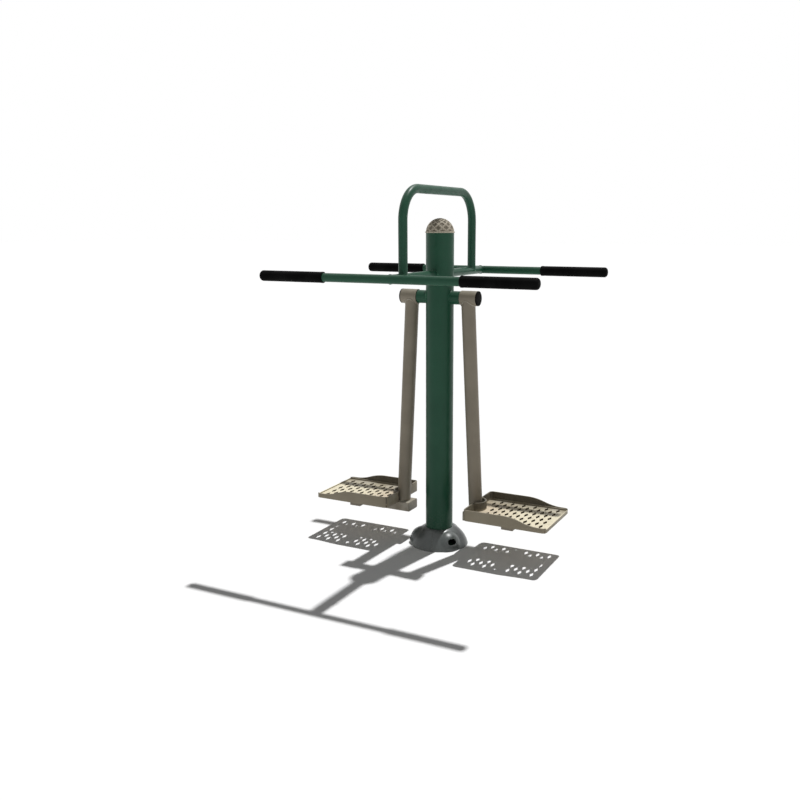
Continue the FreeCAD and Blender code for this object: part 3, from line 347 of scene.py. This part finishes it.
def bareMetal(name, look):
    material, tree, sockets = newFinish(name, metallic=1.0)
    place = objectPlace(tree)
    stretch = addNode(tree, "Mapping")
    stretch.inputs["Scale"].default_value = look["stretch"]
    plug(tree, place, stretch.inputs["Vector"])
    brushed = cloud(tree, stretch.outputs["Vector"], look["brush"], 3.0, 0.6)
    dull = ramp(tree, cloud(tree, place, 120.0, 5.0, 0.65), 0.35, 0.7)
    plug(tree, blendColours(tree, dull, rgba(look["tone"]), rgba(look["dull"])), sockets["Base Color"])
    plug(tree, maths(tree, "ADD", maths(tree, "MULTIPLY", brushed, 0.2),
                     ramp(tree, dull, 0.0, 1.0, look["rough"], look["rough"] + 0.15)), sockets["Roughness"])
    relief(tree, brushed, 0.00004, sockets)
    return material


groundLook = {"tone": (0.62, 0.62, 0.62), "dull": (0.45, 0.45, 0.44), "rough": 0.16,
              "stretch": (1, 0.05, 0.05), "brush": 1600.0}

greenPaint = paintedSteel("greenPowderCoat", greenLook)
taupePaint = paintedSteel("taupePowderCoat", taupeLook)
treadPaint = treadSteel("taupeCoatPaintedLight", trayLook, treadLook)
coverPaint = paintedSteel("greyCoverCoat", coverLook)
capStone = castStone("beigeCastCap", capLook)
gripRubber = mouldedRubber("blackGripRubber", rubberLook)
capPlastic = mouldedRubber("blackCapPlastic", plasticLook)
groundSteel = bareMetal("groundBearingSteel", groundLook)

slotFinish = {
    "green_paint": greenPaint, "taupe_paint": taupePaint, "grey_paint": coverPaint, "beige_paint": capStone,
    "black_rubber": gripRubber, "black_plastic": capPlastic, "bright_steel": groundSteel,
}
nodeSlot = {part["node"]: part["material_slot"] for part in frame["record"]["subparts"]}
for nodeName, node in nodes.items():
    node.material_slots[0].material = slotFinish[nodeSlot[nodeName]]

print("finishes made:", len(bpy.data.materials))


# mesh helpers

def markRub(bm):
    # how sharply each vertex stands out, for worn edges
    rub = bm.verts.layers.float.new("rub")
    for vert in bm.verts:
        sharpest = max((edge.calc_face_angle_signed(0.0) for edge in vert.link_edges), default=0.0)
        vert[rub] = min(max((math.degrees(sharpest) - 10.0) / 25.0, 0.0), 1.0)


def finishPiece(bm, name, body, material, stands=(), smoothBelow=38.0):
    markRub(bm)
    mesh = bpy.data.meshes.new(name)
    bm.to_mesh(mesh)
    bm.free()
    if "custom_normal" in mesh.attributes:
        mesh.attributes.remove(mesh.attributes["custom_normal"])
    mesh.materials.clear()
    mesh.materials.append(material)
    mesh.shade_smooth()
    mesh.set_sharp_from_angle(angle=math.radians(smoothBelow))
    piece = bpy.data.objects.new(name, mesh)
    scene.collection.objects.link(piece)
    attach(piece, body)
    if stands:
        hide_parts(*stands)
    return piece


def roundOff(bm, width, segments=3, sharper=35.0, chosen=lambda edge: True, clamp=True):
    edges = [edge for edge in bm.edges if len(edge.link_faces) == 2
             and edge.calc_face_angle() > math.radians(sharper) and chosen(edge)]
    bmesh.ops.bevel(bm, geom=edges, offset=width, offset_type="OFFSET", segments=segments, profile=0.5,
                    affect="EDGES", clamp_overlap=clamp, material=-1)


def lathe(profile, steps):
    # turns a profile of (radius, height) about Z
    bm = bmesh.new()
    line = [bm.verts.new((radius, 0.0, height)) for radius, height in profile]
    for first, second in zip(line, line[1:]):
        bm.edges.new((first, second))
    bmesh.ops.spin(bm, geom=bm.verts[:] + bm.edges[:], cent=(0, 0, 0), axis=(0, 0, 1), angle=fullTurn,
                   steps=steps, use_merge=True)
    bmesh.ops.remove_doubles(bm, verts=bm.verts, dist=1e-6)
    bmesh.ops.recalc_face_normals(bm, faces=bm.faces)
    return bm


def mergedCopy(nodeName):
    bm = bmesh.new()
    bm.from_mesh(nodes[nodeName].data)
    bmesh.ops.remove_doubles(bm, verts=bm.verts, dist=2e-6)
    bmesh.ops.dissolve_limit(bm, angle_limit=math.radians(0.6), verts=bm.verts, edges=bm.edges)
    return bm


def turnTo(bm, side):
    bmesh.ops.rotate(bm, verts=bm.verts, cent=(0, 0, 0), matrix=Matrix.Rotation(sides[side], 3, "Z"))


def shift(bm, matrix):
    bmesh.ops.transform(bm, matrix=matrix, verts=bm.verts)


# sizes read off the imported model

axleLift = (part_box("axle_sleeve")[0].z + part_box("axle_sleeve")[1].z) / 2
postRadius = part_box("column_tube")[1].x
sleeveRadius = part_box("axle_sleeve")[1].y
barLift = (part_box("front_bar")[0].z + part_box("front_bar")[1].z) / 2
barRadius = (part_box("front_bar")[1].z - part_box("front_bar")[0].z) / 2
barReach = (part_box("rear_bar")[0].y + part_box("rear_bar")[1].y) / 2
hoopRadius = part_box("hoop")[1].x
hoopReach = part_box("hoop")[1].y - hoopRadius
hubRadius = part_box("right_hub")[1].y
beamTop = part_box("right_foot_beam")[1].z


# weld beads

weld = {"size": 0.0023, "ripple": 0.0028, "swell": 0.14, "sink": 0.0005}


def beadRing(radius, seat):
    # a rippled ring that follows the surface it is welded to; seat gives that surface's height
    bm = bmesh.new()
    bmesh.ops.create_circle(bm, segments=8, radius=weld["size"])
    bmesh.ops.rotate(bm, verts=bm.verts, cent=(0, 0, 0), matrix=Matrix.Rotation(math.pi / 2, 3, "X"))
    bmesh.ops.translate(bm, verts=bm.verts, vec=(radius, 0, 0))
    ripples = round(fullTurn * radius / weld["ripple"])
    bmesh.ops.spin(bm, geom=bm.verts[:] + bm.edges[:], cent=(0, 0, 0), axis=(0, 0, 1), angle=fullTurn,
                   steps=ripples * 4, use_merge=True)
    bmesh.ops.recalc_face_normals(bm, faces=bm.faces)
    for vert in bm.verts:
        turn = math.atan2(vert.co.y, vert.co.x)
        middle = Vector((radius * math.cos(turn), radius * math.sin(turn), 0))
        swell = 1 + weld["swell"] * (abs(math.sin(turn * ripples / 2)) - 0.5)
        vert.co = middle + (vert.co - middle) * swell
        vert.co.z += seat(middle) - weld["sink"]
    return bm


def overTube(radius, across):
    # height of a round surface below a point, across being 0 for x and 1 for y
    return lambda spot: math.sqrt(max(radius ** 2 - spot[across] ** 2, 0.0))


def frameWelds():
    level = Matrix.Translation((0, 0, axleLift))
    upper = Matrix.Translation((0, 0, barLift))
    for number, way in enumerate((1, -1)):
        towards = Matrix.Rotation(way * math.pi / 2, 4, "X")
        bead = beadRing(barRadius, overTube(postRadius, 0))
        shift(bead, upper @ towards)
        finishPiece(bead, f"weldCrossTubePost{number}", "frame", greenPaint)
        overBar = overTube(barRadius, 1)
        bead = beadRing(barRadius, lambda spot: barReach - overBar(spot))
        shift(bead, upper @ towards)
        finishPiece(bead, f"weldCrossTubeBar{number}", "frame", greenPaint)
        bead = beadRing(sleeveRadius, overTube(postRadius, 1))
        shift(bead, level @ Matrix.Rotation(way * math.pi / 2, 4, "Y"))
        finishPiece(bead, f"weldSleevePost{number}", "frame", greenPaint)
        bead = beadRing(hoopRadius, overTube(barRadius, 0))
        shift(bead, Matrix.Translation((0, way * hoopReach, barLift)))
        finishPiece(bead, f"weldHoopFoot{number}", "frame", greenPaint)


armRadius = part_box("right_arm_tube")[1].y
armAxis = {"top": 0.1265, "foot": 0.170}  # distance of the leaning tube from the post


def armX(height):
    share = (axleLift - height) / (axleLift - beamTop)
    return armAxis["top"] + (armAxis["foot"] - armAxis["top"]) * share


def armWelds(side):
    overHub = overTube(hubRadius, 1)
    for name, seat in (("Hub", lambda spot: axleLift - overHub(spot)), ("Beam", lambda spot: beamTop)):
        bead = beadRing(armRadius, seat)
        for vert in bead.verts:
            vert.co.x += armX(vert.co.z)
        turnTo(bead, side)
        finishPiece(bead, f"{side}WeldArm{name}", side + "_arm", taupePaint)


frameWelds()
for side in sides:
    armWelds(side)

print("weld beads laid")


# cap with cast relief

cap = {"ribs": 10, "slant": 1.08, "ribWidth": 0.20, "ribFade": 0.28, "depth": 0.0024,
       "button": 0.0075, "buttonFade": 0.003, "around": 260, "up": 120, "rim": 0.0015,
       "rimHeight": 0.005, "edgeBand": 0.0015, "skirt": 0.018, "skirtWall": 0.004}


def capRelief():
    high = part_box("dome_cap")[1]
    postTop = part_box("column_tube")[1].z
    rimTop = postTop + cap["rimHeight"]
    rise = high.z - rimTop
    radius = (postRadius ** 2 + rise ** 2) / (2 * rise)
    centre = Vector((0, 0, high.z - radius))
    bm = bmesh.new()
    bmesh.ops.create_uvsphere(bm, u_segments=cap["around"], v_segments=cap["up"] * 2, radius=radius)
    bmesh.ops.translate(bm, verts=bm.verts, vec=centre)
    bmesh.ops.bisect_plane(bm, geom=bm.verts[:] + bm.edges[:] + bm.faces[:], plane_co=(0, 0, rimTop),
                           plane_no=(0, 0, 1), clear_inner=True)
    hollow = bm.verts.layers.float.new("hollow")
    foot = math.asin((rimTop - centre.z) / radius)
    for vert in bm.verts:
        out = (vert.co - centre).normalized()
        lift = min(math.asin(min(out.z, 1.0)), math.radians(88))
        turn = math.atan2(out.y, out.x)
        climb = cap["slant"] * (math.asinh(math.tan(lift)) - math.asinh(math.tan(foot)))
        ridge = 0.0
        for way in (1, -1):
            step = (turn + way * climb) * cap["ribs"] / fullTurn
            off = abs(step - round(step)) * 2
            ridge = max(ridge, 1 - min(max((off - cap["ribWidth"]) / cap["ribFade"], 0.0), 1.0))
        flat = Vector((out.x, out.y)).length * radius
        ridge = max(ridge, 1 - min(max((flat - cap["button"]) / cap["buttonFade"], 0.0), 1.0))
        overBand = (vert.co.z - rimTop - cap["edgeBand"]) / cap["edgeBand"]
        ridge = max(ridge, 1 - min(max(overBand, 0.0), 1.0))
        ridge = ridge * ridge * (3 - 2 * ridge)
        vert.co -= out * cap["depth"] * (1 - ridge)
        vert[hollow] = 1 - ridge
    skirt = postRadius - cap["skirtWall"]
    band = lathe([(skirt, postTop - cap["skirt"]), (skirt, postTop), (high.x, postTop),
                  (high.x, rimTop), (postRadius - 0.001, rimTop)], cap["around"])
    roundOff(band, cap["rim"], 3, 60.0)
    mesh = bpy.data.meshes.new("capBand")
    band.to_mesh(mesh)
    band.free()
    bm.from_mesh(mesh)
    bpy.data.meshes.remove(mesh)
    return finishPiece(bm, "domeCapCast", "frame", capStone, ["dome_cap"])


capRelief()
print("cap cast")


# domed cover in two halves

cover = {
    "foot": 0.1233, "mouth": 0.062, "bore": 0.0584, "centre": 0.010, "drop": 0.029, "arc": 0.117,
    "wall": 0.004, "up": 80, "around": 260, "seam": math.radians(100), "seamGap": math.radians(0.15),
    "lobes": (-36, 84, 204), "lobeCentre": 0.068, "lobeLift": 0.012, "lobeRadius": 0.058, "fillet": 0.0035,
    "holeStart": (0.088, 0.012), "holeRise": math.radians(42), "holeSpread": 0.007, "holeRadius": 0.013,
    "holeRim": 0.004, "holeFair": 0.012, "lipReach": 0.002, "edge": 0.0009,
}


def domeReach(out):
    flat = math.hypot(out.x, out.y)
    middle = cover["centre"] * flat - cover["drop"] * out.z
    rest = cover["centre"] ** 2 + cover["drop"] ** 2 - cover["arc"] ** 2
    return middle + math.sqrt(middle ** 2 - rest)


def coverReach(out):
    # distance from the origin to the cover's outside, lobes blended into the dome
    reach = domeReach(out)
    for angle in cover["lobes"]:
        turn = math.radians(angle)
        lobe = Vector((math.cos(turn) * cover["lobeCentre"], math.sin(turn) * cover["lobeCentre"],
                       cover["lobeLift"]))
        along = out.dot(lobe)
        inside = along ** 2 - lobe.length_squared + cover["lobeRadius"] ** 2
        if inside > 0:
            bulge = along + math.sqrt(inside)
            share = min(max(0.5 + 0.5 * (bulge - reach) / cover["fillet"], 0.0), 1.0)
            reach += (bulge - reach) * share + cover["fillet"] * share * (1 - share)
    return reach


def holeDistance(spot):
    # signed distance to the nearest access hole's edge, and the way straight out from its middle
    best = None
    for angle in cover["lobes"]:
        turn = math.radians(angle)
        outward = Vector((math.cos(turn), math.sin(turn), 0))
        sideways = Vector((-outward.y, outward.x, 0))
        upright = Vector((0, 0, 1))
        rise = cover["holeRise"]
        across = upright * math.cos(rise) - outward * math.sin(rise)
        offset = spot - outward * cover["holeStart"][0] - upright * cover["holeStart"][1]
        if offset.dot(outward) <= 0:
            continue
        side = offset.dot(sideways)
        over = side - min(max(side, -cover["holeSpread"]), cover["holeSpread"])
        away = sideways * over + across * offset.dot(across)
        distance = away.length - cover["holeRadius"]
        if best is None or distance < best[0]:
            best = (distance, away.normalized() if away.length > 0 else sideways)
    return best if best else (1.0, Vector((0, 0, 1)))


def onCover(spot):
    out = spot.normalized()
    return out * coverReach(out)


def coverHalf(name, start, node):
    bm = bmesh.new()
    seed = bm.verts.new((cover["foot"], 0, 0))
    footTurn = math.asin(cover["drop"] / cover["arc"])
    mouthTurn = math.acos((cover["mouth"] - cover["centre"]) / cover["arc"])
    bmesh.ops.spin(bm, geom=[seed], cent=(cover["centre"], 0, -cover["drop"]), axis=(0, -1, 0),
                   angle=mouthTurn - footTurn, steps=cover["up"])
    bmesh.ops.rotate(bm, verts=bm.verts, cent=(0, 0, 0), matrix=Matrix.Rotation(start, 3, "Z"))
    bmesh.ops.spin(bm, geom=bm.verts[:] + bm.edges[:], cent=(0, 0, 0), axis=(0, 0, 1),
                   angle=math.pi - 2 * cover["seamGap"], steps=cover["around"])
    bmesh.ops.remove_doubles(bm, verts=bm.verts, dist=1e-6)
    for vert in bm.verts:
        flatFoot = vert.co.z < 1e-5
        vert.co = onCover(vert.co)
        if flatFoot:
            vert.co.z = 0.0
    doomed = [face for face in bm.faces if holeDistance(face.calc_center_median())[0] < 0]
    bmesh.ops.delete(bm, geom=doomed, context="FACES")
    rim = [vert for vert in bm.verts if vert.is_boundary and holeDistance(vert.co)[0] < cover["holeRim"]
           and vert.co.z > 0.01]
    for sweep in range(3):
        for vert in rim:
            distance, away = holeDistance(vert.co)
            vert.co = onCover(vert.co - away * distance)
    near = [vert for vert in bm.verts
            if not vert.is_boundary and holeDistance(vert.co)[0] < cover["holeFair"]]
    for sweep in range(4):
        bmesh.ops.smooth_vert(bm, verts=near, factor=0.5, use_axis_x=True, use_axis_y=True, use_axis_z=True)
        for vert in near:
            vert.co = onCover(vert.co)
    # the lip round the post, then the wall thickness
    mouth = [edge for edge in bm.edges if edge.is_boundary
             and all(vert.co.xy.length < cover["mouth"] + cover["lipReach"] for vert in edge.verts)]
    lip = bmesh.ops.extrude_edge_only(bm, edges=mouth)["geom"]
    for vert in lip:
        if isinstance(vert, bmesh.types.BMVert):
            flat = vert.co.xy.normalized() * cover["bore"]
            vert.co.x, vert.co.y = flat.x, flat.y
    bmesh.ops.recalc_face_normals(bm, faces=bm.faces)
    if sum(face.normal.z * face.calc_area() for face in bm.faces) < 0:
        bmesh.ops.reverse_faces(bm, faces=bm.faces)
    bmesh.ops.solidify(bm, geom=bm.faces[:], thickness=cover["wall"])
    roundOff(bm, cover["edge"], 2, 50.0)
    for vert in bm.verts:
        vert.co.z = max(vert.co.z, 0.0)
    return finishPiece(bm, name, "frame", coverPaint, [node])


coverHalf("coverHalfLeft", cover["seam"] + cover["seamGap"], "base_cover_left")
coverHalf("coverHalfRight", cover["seam"] + math.pi + cover["seamGap"], "base_cover_right")
print("cover halves formed")


# grips

grip = {"steps": 72, "endRound": 0.0125, "innerRound": 0.0025, "collar": 0.0006, "collarWidth": 0.009,
        "inset": 0.0001}


def gripSleeve(node, name):
    low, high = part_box(node)
    radius = (high.z - low.z) / 2 - grip["inset"]
    length = high.x - low.x
    body = radius - grip["collar"]
    bm = lathe([(barRadius + 0.0002, 0.0), (radius, 0.0), (radius, grip["collarWidth"]),
                (body, grip["collarWidth"] + 0.004), (body, length), (0, length)], grip["steps"])
    roundOff(bm, grip["endRound"], 8, 60.0,
             lambda edge: all(vert.co.z > length - 1e-4 for vert in edge.verts))
    roundOff(bm, grip["innerRound"], 3, 60.0,
             lambda edge: all(vert.co.z < 1e-4 and vert.co.xy.length > body for vert in edge.verts))
    way = 1 if low.x + high.x > 0 else -1
    start = low.x if way > 0 else high.x
    middle = (low.y + high.y) / 2
    shift(bm, Matrix.Translation((start, middle, barLift)) @ Matrix.Rotation(way * math.pi / 2, 4, "Y"))
    return finishPiece(bm, name, "frame", gripRubber, [node])


for front in ("front", "rear"):
    for side in sides:
        gripSleeve(f"{front}_{side}_grip", f"{front}{side.capitalize()}GripSleeve")
print("grips moulded")


# hubs and their black end caps

hub = {"steps": 96, "edge": 0.0012, "crown": 0.0012, "ringGroove": 0.0007, "capRound": 0.0022}


def hubShell(side):
    bm = mergedCopy(f"{side}_hub")
    roundOff(bm, hub["edge"], 3, 60.0)
    finishPiece(bm, f"{side}HubShell", f"{side}_arm", taupePaint, [f"{side}_hub"])


def hubCap(side):
    low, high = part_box(f"{side}_hub_cap")
    reach = max(abs(low.x), abs(high.x))
    face = max(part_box(f"{side}_hub")[1].x, -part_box(f"{side}_hub")[0].x)
    thick = reach - face
    edge = thick - hub["crown"]
    bm = lathe([(0, -0.006), (0.0235, -0.006), (0.0255, -0.005), (0.0255, 0.0001), (hubRadius, 0.0001),
                (hubRadius, edge), (0.0225, edge + 0.0005), (0.0215, edge - hub["ringGroove"]),
                (0.0205, edge + 0.0006), (0.010, thick - 0.0003), (0, thick)], hub["steps"])
    roundOff(bm, hub["capRound"], 4, 60.0,
             lambda edge: all(vert.co.xy.length > hubRadius - 1e-4 and vert.co.z > 0.001
                              for vert in edge.verts))
    shift(bm, Matrix.Translation((face, 0, axleLift)) @ Matrix.Rotation(math.pi / 2, 4, "Y"))
    turnTo(bm, side)
    finishPiece(bm, f"{side}HubEndCap", f"{side}_arm", capPlastic, [f"{side}_hub_cap"])


for side in sides:
    hubShell(side)
    hubCap(side)
print("hubs dressed")


# box beams and outriggers under the trays

boxSection = {"corner": 0.0055, "rim": 0.0007, "stubEdge": 0.0015}


def alongX(edge):
    way = (edge.verts[1].co - edge.verts[0].co).normalized()
    return abs(way.x) > 0.99


def footBeam(side):
    low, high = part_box(f"{side}_foot_beam")
    outer = high.y - 1e-4

    def isCorner(edge):
        return alongX(edge) and all(abs(vert.co.y) > outer for vert in edge.verts)

    bm = mergedCopy(f"{side}_foot_beam")
    roundOff(bm, boxSection["corner"], 5, 60.0, isCorner)
    finishPiece(bm, f"{side}FootBeam", f"{side}_arm", taupePaint, [f"{side}_foot_beam"])
    bm = mergedCopy(f"{side}_beam_end_plates")
    roundOff(bm, boxSection["corner"], 5, 60.0, isCorner)
    roundOff(bm, boxSection["rim"], 2, 60.0)
    finishPiece(bm, f"{side}BeamEndPlates", f"{side}_arm", taupePaint,
                [f"{side}_beam_end_plates"])


def crossStubs(side):
    bm = mergedCopy(f"{side}_cross_stubs")
    roundOff(bm, boxSection["stubEdge"], 3, 60.0)
    finishPiece(bm, f"{side}CrossStubs", f"{side}_arm", taupePaint, [f"{side}_cross_stubs"])


# cast foot trays

tray = {"edge": 0.0010, "holeEdge": 0.0006, "wall": 0.006, "innerEnd": 0.190, "slack": 0.0005}


def footTray(side):
    low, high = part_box(f"{side}_foot_tray")
    half, end = high.y, max(high.x, -low.x)
    floor, rim = treadLook["floor"], treadLook["rim"]
    slack, wall = tray["slack"], tray["wall"]

    def onOutside(edge):
        return all(abs(vert.co.y) > half - wall + slack or abs(vert.co.x) > end - wall + slack
                   or vert.co.z > rim - slack or abs(vert.co.x) < tray["innerEnd"] for vert in edge.verts)

    def onHole(edge):
        return all(vert.co.z < floor + slack and abs(vert.co.y) < half - wall - slack
                   and tray["innerEnd"] < abs(vert.co.x) < end - wall - slack for vert in edge.verts)

    bm = mergedCopy(f"{side}_foot_tray")
    roundOff(bm, tray["edge"], 3, 32.0, onOutside, clamp=False)
    roundOff(bm, tray["holeEdge"], 2, 32.0, onHole, clamp=False)
    finishPiece(bm, f"{side}FootTrayCast", f"{side}_arm", treadPaint, [f"{side}_foot_tray"])


for side in sides:
    footBeam(side)
    crossStubs(side)
    footTray(side)
print("trays and beams dressed")


# camera, light and floor

view = {"place": (1.5718, -3.2340, 1.3356), "yaw": 26.8, "pitch": 11.05, "focalPixels": 878.75,
        "middleX": 426.3, "middleY": 397.66, "imageSize": 800}


def photoCamera():
    data = bpy.data.cameras.new("photoCamera")
    data.sensor_width = 36.0
    data.lens = data.sensor_width * view["focalPixels"] / view["imageSize"]
    data.shift_x = -(view["middleX"] - view["imageSize"] / 2) / view["imageSize"]
    data.shift_y = (view["middleY"] - view["imageSize"] / 2) / view["imageSize"]
    camera = bpy.data.objects.new("photoCamera", data)
    camera.location = view["place"]
    camera.rotation_euler = (math.radians(90 - view["pitch"]), 0, math.radians(view["yaw"]))
    scene.collection.objects.link(camera)
    scene.camera = camera


light = {"sunTurn": 9.5, "sunLift": 69.5, "sunStrength": 3.05, "sunSoft": 1.2, "sky": 0.15,
         "fillStrength": 6.0, "fillSize": 1.6, "fillPlace": (2.6, -2.2, 2.3), "aim": (0, 0, 0.7)}


def aimed(name, data, place, target):
    lamp = bpy.data.objects.new(name, data)
    lamp.location = place
    lamp.rotation_euler = (Vector(target) - Vector(place)).to_track_quat("-Z", "Y").to_euler()
    scene.collection.objects.link(lamp)


def studioLight():
    sun = bpy.data.lights.new("softSun", "SUN")
    sun.energy = light["sunStrength"]
    sun.angle = math.radians(light["sunSoft"])
    turn, lift = math.radians(light["sunTurn"]), math.radians(light["sunLift"])
    above = Vector((math.sin(turn) * math.cos(lift), math.cos(turn) * math.cos(lift), math.sin(lift)))
    aimed("softSun", sun, above * 4, (0, 0, 0))
    fill = bpy.data.lights.new("fillPanel", "AREA")
    fill.energy = light["fillStrength"]
    fill.size = light["fillSize"]
    aimed("fillPanel", fill, light["fillPlace"], light["aim"])
    world = bpy.data.worlds.new("paleStudio")
    world.use_nodes = True
    scene.world = world
    tree = world.node_tree
    seen = addNode(tree, "LightPath").outputs
    shown = maths(tree, "MAXIMUM", seen["Is Camera Ray"], seen["Is Glossy Ray"])
    shown = maths(tree, "MAXIMUM", shown, seen["Is Transmission Ray"])
    plug(tree, ramp(tree, shown, 0.0, 1.0, light["sky"], 1.0), tree.nodes["Background"].inputs["Strength"])
    tree.nodes["Background"].inputs["Color"].default_value = (1, 1, 1, 1)


def paleFloor():
    bm = bmesh.new()
    bmesh.ops.create_grid(bm, x_segments=1, y_segments=1, size=60)
    mesh = bpy.data.meshes.new("paleFloor")
    bm.to_mesh(mesh)
    bm.free()
    material, tree, sockets = newFinish("paleFloor", specular=0.0)
    mottle = cloud(tree, objectPlace(tree), 0.8, 3.0)
    plug(tree, blendColours(tree, mottle, (0.95, 0.95, 0.95, 1), (0.97, 0.97, 0.97, 1)),
         sockets["Base Color"])
    sockets["Roughness"].default_value = 0.9
    mesh.materials.append(material)
    floor = bpy.data.objects.new("paleFloor", mesh)
    scene.collection.objects.link(floor)


photoCamera()
studioLight()
paleFloor()
scene.view_settings.view_transform = "Standard"

print("scene ready")
